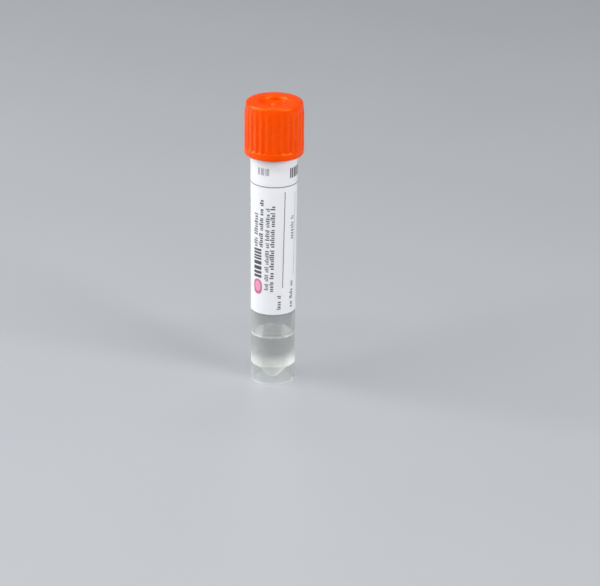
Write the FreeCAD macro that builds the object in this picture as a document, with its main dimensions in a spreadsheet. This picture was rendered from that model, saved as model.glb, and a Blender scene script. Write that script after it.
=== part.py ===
import FreeCAD, Part
import math
import os
import Sketcher

# Specimen swab tube: a self-standing screw-cap tube with a conical bottom inside a hollow skirt,
# a ribbed cap, a wrap-around label and the transport liquid. Millimetres and degrees, +Z up, with
# the origin on the tube's axis in the plane that the foot stands on.

# Driving dimensions: name, value and meaning. Every other size is worked out from these.
DIMENSIONS = (
    ("tube_height", 77.75, "foot to rim"),
    ("foot_radius", 6.0, "outside of the straight lower stretch, which fits a rack"),
    ("straight_height", 20.0, "foot to the top of the straight stretch"),
    ("body_top_radius", 6.25, "outside of the body under the neck, wider by the mould's draft"),
    ("neck_cover", 0.85, "how far the cap reaches down over the lower end of the neck"),
    ("neck_step", 0.3, "how far the neck is inside the top of the body"),
    ("shoulder_rise", 0.3, "height of the sloping shoulder between body and neck"),
    ("body_top_wall", 1.0, "wall of the body under the neck"),
    ("body_floor_wall", 0.85, "wall of the body where the inside cone starts"),
    ("skirt_wall", 0.85, "wall of the hollow skirt at the foot"),
    ("cone_shoulder", 5.0, "height where the underside of the cone meets the skirt"),
    ("cone_tip_height", 0.95, "height of the flat under the cone's tip"),
    ("cone_tip_radius", 1.6, "radius of the flat under the cone's tip"),
    ("cone_wall", 0.9, "thickness of the flat tip, and of the cone across its slope"),
    ("foot_rounding", 0.25, "edge radius round the foot"),
    ("rim_rounding", 0.2, "edge radius round the rim"),
    ("thread_pitch", 2.6, "rise of the thread in one turn"),
    ("thread_depth", 0.5, "height of the thread above the neck"),
    ("thread_root", 1.1, "width of the thread at the neck"),
    ("thread_crest", 0.45, "width of the thread at its crest"),
    ("thread_start", 2.2, "lower end of the neck to the middle of the thread where it starts"),
    ("thread_end", 3.1, "middle of the thread where it ends to the rim"),
    ("thread_bite", 0.1, "depth by which the thread's section runs into the neck"),
    ("thread_clearance", 0.15, "gap between the thread's crest and the bore of the cap"),
    ("cap_height", 14.9, "lower edge to the top of the cap"),
    ("cap_wall", 1.15, "wall of the cap between the ribs"),
    ("band_rise", 0.28, "how far the band at the cap's lower end stands out of the wall"),
    ("band_height", 1.75, "height of the band at its full radius"),
    ("band_ledge", 0.5, "height of the slope from the band in to the wall"),
    ("cap_crown", 2.2, "seat on the rim to the top of the cap"),
    ("cap_plate", 1.0, "thickness of the plate under the recess"),
    ("cap_shoulder", 1.0, "radius of the rounded shoulder at the top"),
    ("crown_fall", 0.1, "how far the top falls from the recess out to the shoulder"),
    ("cap_edge", 0.5, "edge radius at the lower edge"),
    ("cap_lead", 0.3, "chamfer inside the lower edge"),
    ("recess_rim", 3.6, "outside of the cap to the side of the round recess in its top"),
    ("recess_depth", 1.5, "depth of the recess"),
    ("recess_slope", 0.3, "how far the recess narrows down to its floor"),
    ("recess_rounding", 1.1, "radius of the rounded lip of the recess"),
    ("nub_radius", 1.2, "foot of the gate nub in the middle of the recess"),
    ("nub_top_radius", 0.7, "top of the gate nub"),
    ("nub_height", 0.8, "height of the gate nub"),
    ("nub_rounding", 0.3, "edge radius at the top of the gate nub"),
    ("rib_count", 28, "ribs round the cap"),
    ("rib_height", 0.25, "height of a rib above the cap's wall"),
    ("rib_round", 0.6, "radius of a rib's back and of its lower end inside the band"),
    ("rib_foot", 0.9, "lower edge of the cap to the lower end of a rib"),
    ("rib_run_out", 2.3, "length over which a rib runs out under the shoulder"),
    ("rib_tip", 0.32, "radius of a rib's back where it has run out"),
    ("seat_gap", 0.05, "gap between the rim and its seat in the cap"),
    ("plug_clearance", 0.1, "gap between the seal plug and the bore"),
    ("plug_wall", 0.7, "wall of the seal plug"),
    ("plug_length", 2.6, "length of the seal plug"),
    ("plug_lead", 0.3, "how far the plug narrows at its lower end"),
    ("socket_length", 6.7, "length of the socket for the stick"),
    ("socket_grip", 2.0, "straight upper stretch of the socket, which grips the stick"),
    ("socket_grip_radius", 1.15, "inside of the socket along its grip"),
    ("socket_mouth_radius", 2.4, "inside of the socket at its mouth"),
    ("socket_lip", 0.5, "wall of the socket at its mouth"),
    ("socket_draft", 0.2, "how far the socket's outside widens up to the plate"),
    ("label_bottom", 20.7, "foot to the lower edge of the label"),
    ("label_gap", 0.35, "upper edge of the label to the lower edge of the cap"),
    ("label_film", 0.1, "thickness of the label's film"),
    ("label_lap_angle", 30, "degrees by which the film's end laps over its start"),
    ("liquid_level", 13.9, "foot to where the liquid meets the bore"),
    ("meniscus_dip", 0.45, "how far the liquid's surface lies lower in the middle"),
    ("meniscus_run", 0.9, "how far from the bore the surface climbs"),
)

# Sizes that several pieces share, as formulas in the driving dimensions.
CAP_SEAT = "( cap_height - cap_crown )"
CAP_CEILING = "( cap_height - recess_depth - cap_plate )"
CAP_FOOT = f"( tube_height + seat_gap - {CAP_SEAT} )"
LABEL_TOP = f"( {CAP_FOOT} - label_gap )"
NECK_FOOT = f"( {CAP_FOOT} + neck_cover )"
NECK_RADIUS = "( body_top_radius - neck_step )"
MOUTH_RADIUS = "( body_top_radius - body_top_wall )"
BODY_TOP = f"( {NECK_FOOT} - shoulder_rise )"
BODY_FLARE = f"( ( body_top_radius - foot_radius ) / ( {BODY_TOP} - straight_height ) )"
CONE_SLOPE = (
    "( ( cone_shoulder - cone_tip_height ) / ( foot_radius - skirt_wall - cone_tip_radius ) )"
)
CONE_LIFT = f"( cone_wall * sqrt( 1 + {CONE_SLOPE} ^ 2 ) )"
CONE_FLOOR = "( cone_tip_height + cone_wall )"
CAP_BORE = f"( {NECK_RADIUS} + thread_depth + thread_clearance )"
CAP_RADIUS = f"( {CAP_BORE} + cap_wall )"
BAND_RADIUS = f"( {CAP_RADIUS} + band_rise )"
CROWN_EDGE = "( cap_height - crown_fall )"

FULL_TURN = 360.0
BACK_AZIMUTH = 90.0

doc = FreeCAD.newDocument("SpecimenSwabTube")
sheet = doc.addObject("Spreadsheet::Sheet", "Dimensions")
for row, (alias, number, meaning) in enumerate(DIMENSIONS, start=1):
    sheet.set(f"A{row}", meaning)
    sheet.set(f"B{row}", str(number))
    sheet.setAlias(f"B{row}", alias)
doc.recompute()
ALIASES = {alias for alias, _, _ in DIMENSIONS}


def bound(formula):
    """Write the dimension names in a formula as cells of the sheet."""
    return " ".join(f"Dimensions.{word}" if word in ALIASES else word for word in formula.split())


def value(formula):
    """Work out a formula in the sheet's dimensions."""
    return float(sheet.evalExpression(bound(formula)))


def body_radius(height):
    """Formula for the body's outside radius at a height above the straight stretch."""
    return f"( foot_radius + {BODY_FLARE} * ( {height} - straight_height ) )"


def cone_inside(radius):
    """Formula for the height of the inside cone at a radius."""
    return f"( cone_tip_height + {CONE_LIFT} + {CONE_SLOPE} * ( {radius} - cone_tip_radius ) )"


# The inside cone runs from its flat floor up to where it meets the bore.
CONE_FLOOR_RADIUS = f"( cone_tip_radius - ( {CONE_LIFT} - cone_wall ) / {CONE_SLOPE} )"
BORE_FLOOR_RADIUS = "( foot_radius - body_floor_wall )"
BORE_FLOOR = cone_inside(BORE_FLOOR_RADIUS)


def bore_radius(height):
    """Formula for the bore's radius at a height between its floor and the rim."""
    share = f"( ( {height} - {BORE_FLOOR} ) / ( tube_height - {BORE_FLOOR} ) )"
    return f"( {BORE_FLOOR_RADIUS} + ( {MOUTH_RADIUS} - {BORE_FLOOR_RADIUS} ) * {share} )"


def origin_item(body, role):
    """Find a plane or an axis of a body's own origin."""
    return next(item for item in body.Origin.OriginFeatures if item.Role == role)


def new_body(label):
    """Make the body of one sub-part, whose label names its file."""
    body = doc.addObject("PartDesign::Body", label.title().replace("_", "") + "Body")
    body.Label = label
    return body


def new_sketch(body, name):
    """Make a sketch on a body's upright plane: X is the radius, Y is the height."""
    sketch = body.newObject("Sketcher::SketchObject", name)
    sketch.AttachmentSupport = [(origin_item(body, "XZ_Plane"), "")]
    sketch.MapMode = "FlatFace"
    return sketch


def place_corner(sketch, line, corner):
    """Fix the start of a line at a corner given as radius and height formulas."""
    for kind, formula in zip(("DistanceX", "DistanceY"), corner):
        if formula == "0" and kind == "DistanceX":
            sketch.addConstraint(Sketcher.Constraint("PointOnObject", line, 1, -2))
            continue
        rule = Sketcher.Constraint(kind, -1, 1, line, 1, value(formula))
        index = sketch.addConstraint(rule)
        sketch.setExpression(f"Constraints[{index}]", bound(formula))


def draw_outline(sketch, corners):
    """Draw a closed outline of straight lines whose corners are bound to the sheet."""
    points = [FreeCAD.Vector(value(radius), value(height), 0) for radius, height in corners]
    count = len(points)
    for index in range(count):
        sketch.addGeometry(Part.LineSegment(points[index], points[(index + 1) % count]), False)
    for index in range(count):
        following = (index + 1) % count
        sketch.addConstraint(Sketcher.Constraint("Coincident", index, 2, following, 1))
    for index, corner in enumerate(corners):
        place_corner(sketch, index, corner)


def revolve(body, name, corners, angle=None):
    """Turn an outline round the body's axis, all the way or by a formula's angle."""
    sketch = new_sketch(body, name + "Section")
    draw_outline(sketch, corners)
    doc.recompute()
    feature = body.newObject("PartDesign::Revolution", name)
    feature.Profile = sketch
    feature.ReferenceAxis = (sketch, ["V_Axis"])
    feature.Angle = FULL_TURN
    if angle:
        feature.setExpression("Angle", bound(angle))
        feature.Midplane = True
    doc.recompute()
    return feature


def ring_edges(feature, rings):
    """Name a feature's round edges that lie at given radius and height formulas."""
    names = []
    for radius, height in rings:
        wanted = (value(radius), value(height))
        for number, edge in enumerate(feature.Shape.Edges, start=1):
            curve = edge.Curve
            if not isinstance(curve, Part.Circle):
                continue
            if math.dist(wanted, (curve.Radius, curve.Center.z)) < 1e-4:
                names.append(f"Edge{number}")
    return names


def round_edges(body, feature, name, rings, radius):
    """Fillet the round edges of a feature with a radius bound to the sheet."""
    fillet = body.newObject("PartDesign::Fillet", name)
    fillet.Base = (feature, ring_edges(feature, rings))
    fillet.setExpression("Radius", bound(radius))
    doc.recompute()
    return fillet


def make_tube():
    """Make the tube: body, hollow skirt, hanging cone and threaded neck in one moulding."""
    body = new_body("tube")
    skirt_inside = "( foot_radius - skirt_wall )"
    section = revolve(body, "TubeWall", (
        (skirt_inside, "0"),
        ("foot_radius", "0"),
        ("foot_radius", "straight_height"),
        ("body_top_radius", BODY_TOP),
        (NECK_RADIUS, NECK_FOOT),
        (NECK_RADIUS, "tube_height"),
        (MOUTH_RADIUS, "tube_height"),
        (BORE_FLOOR_RADIUS, BORE_FLOOR),
        (CONE_FLOOR_RADIUS, CONE_FLOOR),
        ("0", CONE_FLOOR),
        ("0", "cone_tip_height"),
        ("cone_tip_radius", "cone_tip_height"),
        (skirt_inside, "cone_shoulder"),
    ))
    foot = round_edges(
        body, section, "FootRounding", (("foot_radius", "0"), (skirt_inside, "0")), "foot_rounding"
    )
    rim = round_edges(
        body, foot, "RimRounding",
        ((NECK_RADIUS, "tube_height"), (MOUTH_RADIUS, "tube_height")), "rim_rounding",
    )
    cut = new_sketch(body, "ThreadSection")
    middle = f"{NECK_FOOT} + thread_start"
    crest = f"{NECK_RADIUS} + thread_depth"
    root = f"{NECK_RADIUS} - thread_bite"
    draw_outline(cut, (
        (root, f"{middle} - thread_root / 2"),
        (crest, f"{middle} - thread_crest / 2"),
        (crest, f"{middle} + thread_crest / 2"),
        (root, f"{middle} + thread_root / 2"),
    ))
    doc.recompute()
    thread = body.newObject("PartDesign::AdditiveHelix", "NeckThread")
    thread.Profile = cut
    thread.ReferenceAxis = (cut, ["V_Axis"])
    thread.Mode = "pitch-height-angle"
    thread.setExpression("Pitch", bound("thread_pitch"))
    thread.setExpression("Height", bound(f"tube_height - thread_end - ( {middle} )"))
    doc.recompute()
    if thread.Shape.Volume <= rim.Shape.Volume:
        raise RuntimeError("the thread adds nothing to the neck")
    return body


def make_cap():
    """Make the cap, in its own frame from its lower edge, and seat it on the rim."""
    body = new_body("cap")
    recess_side = f"( {CAP_RADIUS} - recess_rim )"
    recess_floor = "( cap_height - recess_depth )"
    nub_top = f"( {recess_floor} + nub_height )"
    plug_outside = f"( {MOUTH_RADIUS} - plug_clearance )"
    socket_outside = "( socket_mouth_radius + socket_lip )"
    socket_foot = f"( {CAP_CEILING} - socket_length )"
    plug_foot = f"( {CAP_SEAT} - plug_length )"
    section = revolve(body, "CapWall", (
        (CAP_BORE, "cap_lead"),
        (f"{CAP_BORE} + cap_lead", "0"),
        (BAND_RADIUS, "0"),
        (BAND_RADIUS, "band_height"),
        (CAP_RADIUS, "band_height + band_ledge"),
        (CAP_RADIUS, CROWN_EDGE),
        (recess_side, "cap_height"),
        (f"{recess_side} - recess_slope", recess_floor),
        ("nub_radius", recess_floor),
        ("nub_top_radius", nub_top),
        ("0", nub_top),
        ("0", CAP_CEILING),
        ("socket_grip_radius", CAP_CEILING),
        ("socket_grip_radius", f"{CAP_CEILING} - socket_grip"),
        ("socket_mouth_radius", socket_foot),
        (socket_outside, socket_foot),
        (f"{socket_outside} + socket_draft", CAP_CEILING),
        (f"{plug_outside} - plug_wall", CAP_CEILING),
        (f"{plug_outside} - plug_wall", plug_foot),
        (f"{plug_outside} - plug_lead", plug_foot),
        (plug_outside, f"{plug_foot} + plug_lead * 2"),
        (plug_outside, CAP_SEAT),
        (CAP_BORE, CAP_SEAT),
    ))
    shoulder = round_edges(
        body, section, "CapShoulder", ((CAP_RADIUS, CROWN_EDGE),), "cap_shoulder"
    )
    edge = round_edges(body, shoulder, "CapEdge", ((BAND_RADIUS, "0"),), "cap_edge")
    lip = round_edges(
        body, edge, "RecessLip", ((recess_side, "cap_height"),), "recess_rounding"
    )
    nub = round_edges(body, lip, "NubRounding", (("nub_top_radius", nub_top),), "nub_rounding")
    rib = add_rib(body)
    if rib.Shape.Volume <= nub.Shape.Volume:
        raise RuntimeError("the rib adds nothing to the cap")
    ribs = body.newObject("PartDesign::PolarPattern", "Ribs")
    ribs.Originals = [rib]
    ribs.Axis = (origin_item(body, "Z_Axis"), [""])
    ribs.Angle = FULL_TURN
    ribs.setExpression("Occurrences", bound("rib_count"))
    body.Tip = ribs
    body.setExpression("Placement.Base.z", bound(CAP_FOOT))
    doc.recompute()
    return body


def add_rib(body):
    """Add one rib: an upright rod sunk into the wall, which tapers until it has run out."""
    sketch = new_sketch(body, "RibSection")
    centre = f"{CAP_RADIUS} + rib_height - rib_round"
    low = "rib_foot + rib_round"
    high = f"{CROWN_EDGE} - cap_shoulder"
    full = f"{high} - rib_run_out"
    across = value(centre)
    reach = value("rib_round")
    bottom = FreeCAD.Vector(across, value(low) - reach, 0)
    top = FreeCAD.Vector(across, value(high), 0)
    low_side = FreeCAD.Vector(across + reach, value(low), 0)
    full_side = FreeCAD.Vector(across + reach, value(full), 0)
    tip_side = FreeCAD.Vector(across + value("rib_tip"), value(high), 0)
    facing = FreeCAD.Vector(0, 0, 1)
    low_round = Part.Circle(FreeCAD.Vector(across, value(low), 0), facing, reach)
    axis = sketch.addGeometry(Part.LineSegment(top, bottom), False)
    foot = sketch.addGeometry(Part.ArcOfCircle(low_round, -math.pi / 2, 0), False)
    side = sketch.addGeometry(Part.LineSegment(low_side, full_side), False)
    taper = sketch.addGeometry(Part.LineSegment(full_side, tip_side), False)
    head = sketch.addGeometry(Part.LineSegment(tip_side, top), False)
    for rule in (
        ("Coincident", axis, 2, foot, 1),
        ("Coincident", side, 1, foot, 2),
        ("Coincident", side, 2, taper, 1),
        ("Coincident", taper, 2, head, 1),
        ("Coincident", head, 2, axis, 1),
        ("Vertical", axis),
        ("Vertical", side),
        ("Horizontal", head),
        ("PointOnObject", foot, 3, axis),
        ("Horizontal", foot, 3, side, 1),
    ):
        sketch.addConstraint(Sketcher.Constraint(*rule))
    for rule, formula in (
        (("DistanceX", -1, 1, axis, 2), centre),
        (("DistanceY", -1, 1, foot, 3), low),
        (("DistanceY", -1, 1, side, 2), full),
        (("DistanceY", -1, 1, axis, 1), high),
        (("DistanceX", axis, 1, taper, 2), "rib_tip"),
        (("Radius", foot), "rib_round"),
    ):
        index = sketch.addConstraint(Sketcher.Constraint(*rule, value(formula)))
        sketch.setExpression(f"Constraints[{index}]", bound(formula))
    doc.recompute()
    rib = body.newObject("PartDesign::Revolution", "Rib")
    rib.Profile = sketch
    rib.ReferenceAxis = (sketch, [f"Edge{axis + 1}"])
    rib.Angle = FULL_TURN
    doc.recompute()
    return rib


def make_label():
    """Make the label: one film wrapped round the body, its end lapped over its start at the back."""
    body = new_body("label")
    body.Placement = FreeCAD.Placement(
        FreeCAD.Vector(0, 0, 0), FreeCAD.Rotation(FreeCAD.Vector(0, 0, 1), BACK_AZIMUTH)
    )
    low = body_radius("label_bottom")
    high = body_radius(LABEL_TOP)
    revolve(body, "Film", (
        (low, "label_bottom"),
        (f"{low} + label_film", "label_bottom"),
        (f"{high} + label_film", LABEL_TOP),
        (high, LABEL_TOP),
    ))
    revolve(body, "Lap", (
        (low, "label_bottom"),
        (f"{low} + label_film * 2", "label_bottom"),
        (f"{high} + label_film * 2", LABEL_TOP),
        (high, LABEL_TOP),
    ), angle="label_lap_angle")
    return body


def make_liquid():
    """Make the liquid, which fills the cone and the bore up to its level."""
    body = new_body("liquid_medium")
    surface = "( liquid_level - meniscus_dip )"
    brim = bore_radius("liquid_level")
    revolve(body, "Liquid", (
        ("0", CONE_FLOOR),
        (CONE_FLOOR_RADIUS, CONE_FLOOR),
        (BORE_FLOOR_RADIUS, BORE_FLOOR),
        (brim, "liquid_level"),
        (f"{brim} - meniscus_run", surface),
        ("0", surface),
    ))
    return body


def check_document():
    """Stop if any object failed, or if a sub-part's shape is empty or invalid."""
    for item in doc.Objects:
        if {"Invalid", "Error"} & set(item.State):
            raise RuntimeError(f"{item.Name} failed: {item.State}")
    for body in bodies:
        if body.Shape.isNull() or not body.Shape.isValid() or len(body.Shape.Solids) != 1:
            raise RuntimeError(f"{body.Label} has no single valid solid")


bodies = (make_tube(), make_cap(), make_label(), make_liquid())
doc.recompute()
check_document()
os.makedirs("parts", exist_ok=True)
for piece in bodies:
    piece.Shape.exportStep(f"parts/{piece.Label}.step")
    box = piece.Shape.BoundBox
    print(f"{piece.Label}: {piece.Shape.Volume:.1f} mm3, z {box.ZMin:.2f} to {box.ZMax:.2f}")
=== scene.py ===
"""Looks of a specimen swab tube: a clear screw-cap tube with a label and a little transport liquid.

Each sub-assembly is a class that holds its sizes in millimetres and builds its meshes round the
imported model's frame, and each finish is a small class that makes one material.
"""

import logging
import math
import random
from collections.abc import Callable, Sequence
from dataclasses import dataclass, field
from enum import Enum

import bmesh
import bpy
from mathutils import Matrix, Vector


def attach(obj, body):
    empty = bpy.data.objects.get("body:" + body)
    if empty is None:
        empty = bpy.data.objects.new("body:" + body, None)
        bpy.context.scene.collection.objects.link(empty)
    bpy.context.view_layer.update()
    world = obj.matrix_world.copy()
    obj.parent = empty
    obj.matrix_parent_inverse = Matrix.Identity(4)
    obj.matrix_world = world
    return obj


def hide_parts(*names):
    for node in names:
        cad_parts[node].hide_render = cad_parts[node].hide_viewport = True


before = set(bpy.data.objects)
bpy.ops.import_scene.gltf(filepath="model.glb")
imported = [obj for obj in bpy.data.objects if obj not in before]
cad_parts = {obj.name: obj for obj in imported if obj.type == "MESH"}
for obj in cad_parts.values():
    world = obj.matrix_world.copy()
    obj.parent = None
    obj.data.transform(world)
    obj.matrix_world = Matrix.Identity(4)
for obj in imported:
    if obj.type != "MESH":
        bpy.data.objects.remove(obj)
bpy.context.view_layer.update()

MM = 0.001

# A rounding takes up at most this share of the shorter flat beside it.
ROUNDING_SHARE = 0.6
# Degrees between the points along a rounding. Roundings under the small radius, in millimetres,
# get half as many points, and a corner flatter than the flat angle gets none.
ARC_STEP = 15.0
SMALL_ROUNDING = 0.18
FLAT_HALF_ANGLE = math.radians(89.0)
# Before and after a rounding lies one more point, so far off as a share of its radius.
GUARD_SHARE = 0.25
# Where two faces meet at more than this angle, their edge is drawn as an edge.
CREASE = math.radians(38.0)
# Outlines are kept in single precision, so radii are compared with this many millimetres to spare.
SPARE = 0.01
# Azimuth of the object's front, in degrees from +X.
FRONT = -90.0
# Most of a noise lies in this span.
NOISE_SPAN = {"From Min": 0.3, "From Max": 0.7}
# Makes a change start and end gently.
EASED = {"interpolation_type": "SMOOTHSTEP"}

log = logging.getLogger("swab_tube")

Pair = tuple[float, float]
Profile = list[Pair]
Rings = list[list[Vector]]


class Body(Enum):
    """The two bodies that pieces ride on."""

    TUBE = "tube"
    CAP = "cap"


class Slot(Enum):
    """The record's material slots."""

    TUBE = "clear_polypropylene"
    CAP = "orange_polyethylene"
    LABEL = "label_film"
    LIQUID = "transport_liquid"


# Colour and node helpers
# -----------------------


def linear(hex_colour: str) -> tuple[float, float, float, float]:
    """Turn an sRGB hex colour into linear light.

    Args:
        hex_colour: six hex digits with a leading hash sign.

    Returns:
        Red, green, blue and alpha, each from 0 to 1.
    """
    channels = []
    for start in (1, 3, 5):
        level = int(hex_colour[start:start + 2], 16) / 255.0
        channels.append(level / 12.92 if level <= 0.04045 else ((level + 0.055) / 1.055) ** 2.4)
    return (channels[0], channels[1], channels[2], 1.0)


def add_node(
    tree: bpy.types.NodeTree, kind: str, inputs: dict[str | int, object] | None = None,
    **settings: object,
) -> bpy.types.Node:
    """Add a node with its settings and links.

    Args:
        tree: the material's or world's node tree.
        kind: the node's Blender type after "ShaderNode".
        inputs: for a socket's name or number, a value, the output socket that feeds it, or a node
            whose first output feeds it.
        settings: properties of the node.

    Returns:
        The new node.
    """
    node = tree.nodes.new("ShaderNode" + kind)
    for name, value in settings.items():
        setattr(node, name, value)
    for key, value in (inputs or {}).items():
        source = value.outputs[0] if isinstance(value, bpy.types.Node) else value
        if isinstance(source, bpy.types.NodeSocket):
            tree.links.new(source, node.inputs[key])
        else:
            node.inputs[key].default_value = source
    return node


def blank_material(name: str) -> tuple[bpy.types.Material, bpy.types.NodeTree]:
    """Make a material with an empty node tree.

    Args:
        name: the finish's name.

    Returns:
        The material and its node tree.
    """
    material = bpy.data.materials.new(name)
    material.use_nodes = True
    material.node_tree.nodes.clear()
    return material, material.node_tree


def finish_clear(tree: bpy.types.NodeTree, surface: bpy.types.Node, passed: float) -> None:
    """Finish a clear material, and let the lamps shine through it on to what is behind it.

    Args:
        tree: the material's node tree.
        surface: the shader that everything but the lamps' light meets.
        passed: share of the lamps' light that goes on.
    """
    path = add_node(tree, "LightPath")
    through = add_node(tree, "BsdfTransparent", {"Color": (passed, passed, passed, 1.0)})
    mixed = add_node(tree, "MixShader", {0: path.outputs["Is Shadow Ray"], 1: surface, 2: through})
    add_node(tree, "OutputMaterial", {"Surface": mixed})


# Finishes
# --------


@dataclass(frozen=True)
class Pattern:
    """A cloudy pattern of a real size.

    Attributes:
        size_mm: width of one patch.
        detail: how many finer layers lie over it.
        roughness: how strong those are.
        distortion: how far it is stirred.
    """

    size_mm: float
    detail: float = 2.0
    roughness: float = 0.5
    distortion: float = 0.0

    def inputs(self, place: bpy.types.NodeSocket | bpy.types.Node) -> dict[str, object]:
        """Give the noise inputs that draw the pattern.

        Args:
            place: coordinates in metres.

        Returns:
            The inputs by name.
        """
        return {
            "Vector": place, "Scale": 1.0 / (self.size_mm * MM), "Detail": self.detail,
            "Roughness": self.roughness, "Distortion": self.distortion}


@dataclass(frozen=True)
class ClearPolypropylene:
    """Clarified polypropylene, injection moulded in a polished mould with a matt core tip.

    To the eye it is clear with a faint milky haze and a gloss that is a little uneven along the
    melt's flow. The cone is cloudy where the matt tip moulded it. A painted highlight makes the
    foot's edge whiter, and painted light in milky white stands in for light refracted at the tube's
    edges over the cone's shoulder.
    A pair of lengths or slants tells where something starts to show and where it shows in full, and
    a pair of shares or roughnesses is for the two ends of the flow's pattern.
    """

    cone_slope: float
    cone_apex_mm: float
    colour: str = "#D2D4D4"
    haze_colour: str = "#CDCFCF"
    milky_colour: str = "#FBFBF9"
    ior: float = 1.49
    clear_share: Pair = (0.83, 0.89)
    # Where the wall is seen aslant, more of its haze lies in the way, and less of it is clear.
    edge_slant: Pair = (0.12, 0.5)
    edge_clear_share: float = 0.84
    # Over the cone's shoulder the tube's edges carry painted light: milky white that stands in for
    # light refracted at the tube's sides. It thins out upwards.
    painted_edge_light_mm: Pair = (4.95, 5.1)
    painted_edge_light_fade_mm: Pair = (9.2, 5.5)
    painted_edge_light_slant: Pair = (0.06, 0.42)
    painted_edge_light_share: float = 0.55
    # Clear shares under the cloud with the painted edge light, and under the foot's painted highlight.
    cloud_and_edge_light_clear_share: float = 0.25
    rim_highlight_clear_share: float = 0.15
    glow_share: float = 0.5
    lamp_share: float = 0.85
    roughness: Pair = (0.12, 0.07)
    flow: Pattern = Pattern(0.9, detail=3.0, roughness=0.55)
    flow_stretch: float = 0.12
    peel: Pattern = Pattern(0.7, detail=1.0)
    peel_depth_mm: float = 0.006
    peel_strength: float = 0.5
    bore_limit_mm: Pair = (5.7, 5.6)
    # The clouded mould face starts a hair under the cone's lower face, so none of it is on the skirt.
    cone_under_mm: Pair = (-0.14, -0.03)
    # So far over the lower face its full cloud gives way to the upper face's, which thins out upwards.
    cone_upper_mm: Pair = (0.9, 0.5)
    cone_fade_mm: Pair = (6.6, 2.4)
    # Heights of the painted highlight that whitens the foot's edge.
    rim_highlight_height_mm: Pair = (0.32, 0.1)

    def masks(
        self, tree: bpy.types.NodeTree, place: bpy.types.NodeSocket, facing: bpy.types.NodeSocket
    ) -> tuple[bpy.types.Node, bpy.types.Node]:
        """Work out where the tube is cloudy, where its edges carry painted light, and where its foot
        carries a painted highlight.

        Args:
            tree: the material's node tree.
            place: the object coordinates.
            facing: how much the wall is seen aslant.

        Returns:
            The mask of the cloud with the painted edge light, and the mask of the foot's painted
            highlight.
        """
        level = add_node(tree, "SeparateXYZ", {"Vector": place}).outputs["Z"]
        across = add_node(tree, "VectorMath", {0: place, 1: (1.0, 1.0, 0.0)}, operation="MULTIPLY")
        radius = add_node(tree, "VectorMath", {0: across}, operation="LENGTH").outputs["Value"]
        apex = add_node(
            tree, "Math", {0: radius, 1: -self.cone_slope, 2: level}, operation="MULTIPLY_ADD")
        shown = []
        for value, base, (none, full) in (
            (apex, self.cone_apex_mm, self.cone_under_mm),
            (apex, self.cone_apex_mm, self.cone_upper_mm),
            (level, 0.0, self.cone_fade_mm),
            (radius, 0.0, self.bore_limit_mm),
            (level, 0.0, self.painted_edge_light_mm),
            (level, 0.0, self.painted_edge_light_fade_mm),
            (level, 0.0, self.rim_highlight_height_mm),
        ):
            shown.append(add_node(
                tree, "MapRange", {
                    "Value": value, "From Min": (base + none) * MM,
                    "From Max": (base + full) * MM}, **EASED))
        over_face, lower_face, fading, in_bore, over_shoulder, thinning, painted_rim_highlight = shown
        fading = add_node(tree, "Math", {0: fading, 1: lower_face}, operation="MAXIMUM")
        beside = add_node(
            tree, "MapRange", {
                "Value": facing, "From Min": self.painted_edge_light_slant[0],
                "From Max": self.painted_edge_light_slant[1]}, **EASED)
        # The cone's cloud, and over the cone's shoulder the painted edge light.
        clouds_and_edge_light = []
        for cloud, *factors in (
            (over_face, fading, in_bore),
            (over_shoulder, thinning, beside, self.painted_edge_light_share),
        ):
            for factor in factors:
                cloud = add_node(tree, "Math", {0: cloud, 1: factor}, operation="MULTIPLY")
            clouds_and_edge_light.append(cloud)
        return add_node(tree, "Math", dict(enumerate(clouds_and_edge_light)), operation="MAXIMUM"), painted_rim_highlight

    def material(self) -> bpy.types.Material:
        """Make the material.

        Returns:
            The node material.
        """
        material, tree = blank_material("clear_polypropylene_moulded")
        place = add_node(tree, "TexCoord").outputs["Object"]
        along = add_node(tree, "Mapping", {"Vector": place, "Scale": (1.0, 1.0, self.flow_stretch)})
        flow = add_node(tree, "TexNoise", self.flow.inputs(along))
        peel = add_node(tree, "TexNoise", self.peel.inputs(place))
        facing = add_node(tree, "LayerWeight").outputs["Facing"]
        cloud_and_edge_light, painted_rim_highlight = self.masks(tree, place, facing)
        gloss, clear = (
            add_node(
                tree, "MapRange", {"Value": flow, **NOISE_SPAN, "To Min": low, "To Max": high})
            for low, high in (self.roughness, self.clear_share))
        aslant = add_node(
            tree, "MapRange", {
                "Value": facing, "From Min": self.edge_slant[0], "From Max": self.edge_slant[1]},
            **EASED)
        hazed = add_node(
            tree, "MapRange", {"Value": aslant, "To Min": 1.0, "To Max": self.edge_clear_share})
        clear = add_node(tree, "Math", {0: clear, 1: hazed}, operation="MULTIPLY")
        # Under the cloud and the painted edge light, the wall is milky white and partly translucent.
        clear = add_node(tree, "Mix", {0: cloud_and_edge_light, 2: clear, 3: self.cloud_and_edge_light_clear_share})
        # The foot's edge is less clear, a painted highlight that shows whiter.
        clear = add_node(tree, "Mix", {0: painted_rim_highlight, 2: clear, 3: self.rim_highlight_clear_share})
        tint = add_node(
            tree, "Mix", {0: flow, 6: linear(self.haze_colour), 7: linear(self.colour)},
            data_type="RGBA")
        tint = add_node(
            tree, "Mix", {0: cloud_and_edge_light, 6: tint.outputs[2], 7: linear(self.milky_colour)},
            data_type="RGBA")
        relief = add_node(
            tree, "Bump", {
                "Height": peel, "Strength": self.peel_strength,
                "Distance": self.peel_depth_mm * MM})
        surface = add_node(
            tree, "BsdfPrincipled", {
                "Base Color": tint.outputs[2], "Roughness": gloss, "IOR": self.ior,
                "Transmission Weight": clear, "Normal": relief})
        glow = add_node(tree, "BsdfTranslucent", {"Color": linear(self.milky_colour)})
        share = add_node(tree, "Math", {0: cloud_and_edge_light, 1: self.glow_share}, operation="MULTIPLY")
        surface = add_node(tree, "MixShader", {0: share, 1: surface, 2: glow})
        finish_clear(tree, surface, self.lamp_share)
        return material


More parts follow.
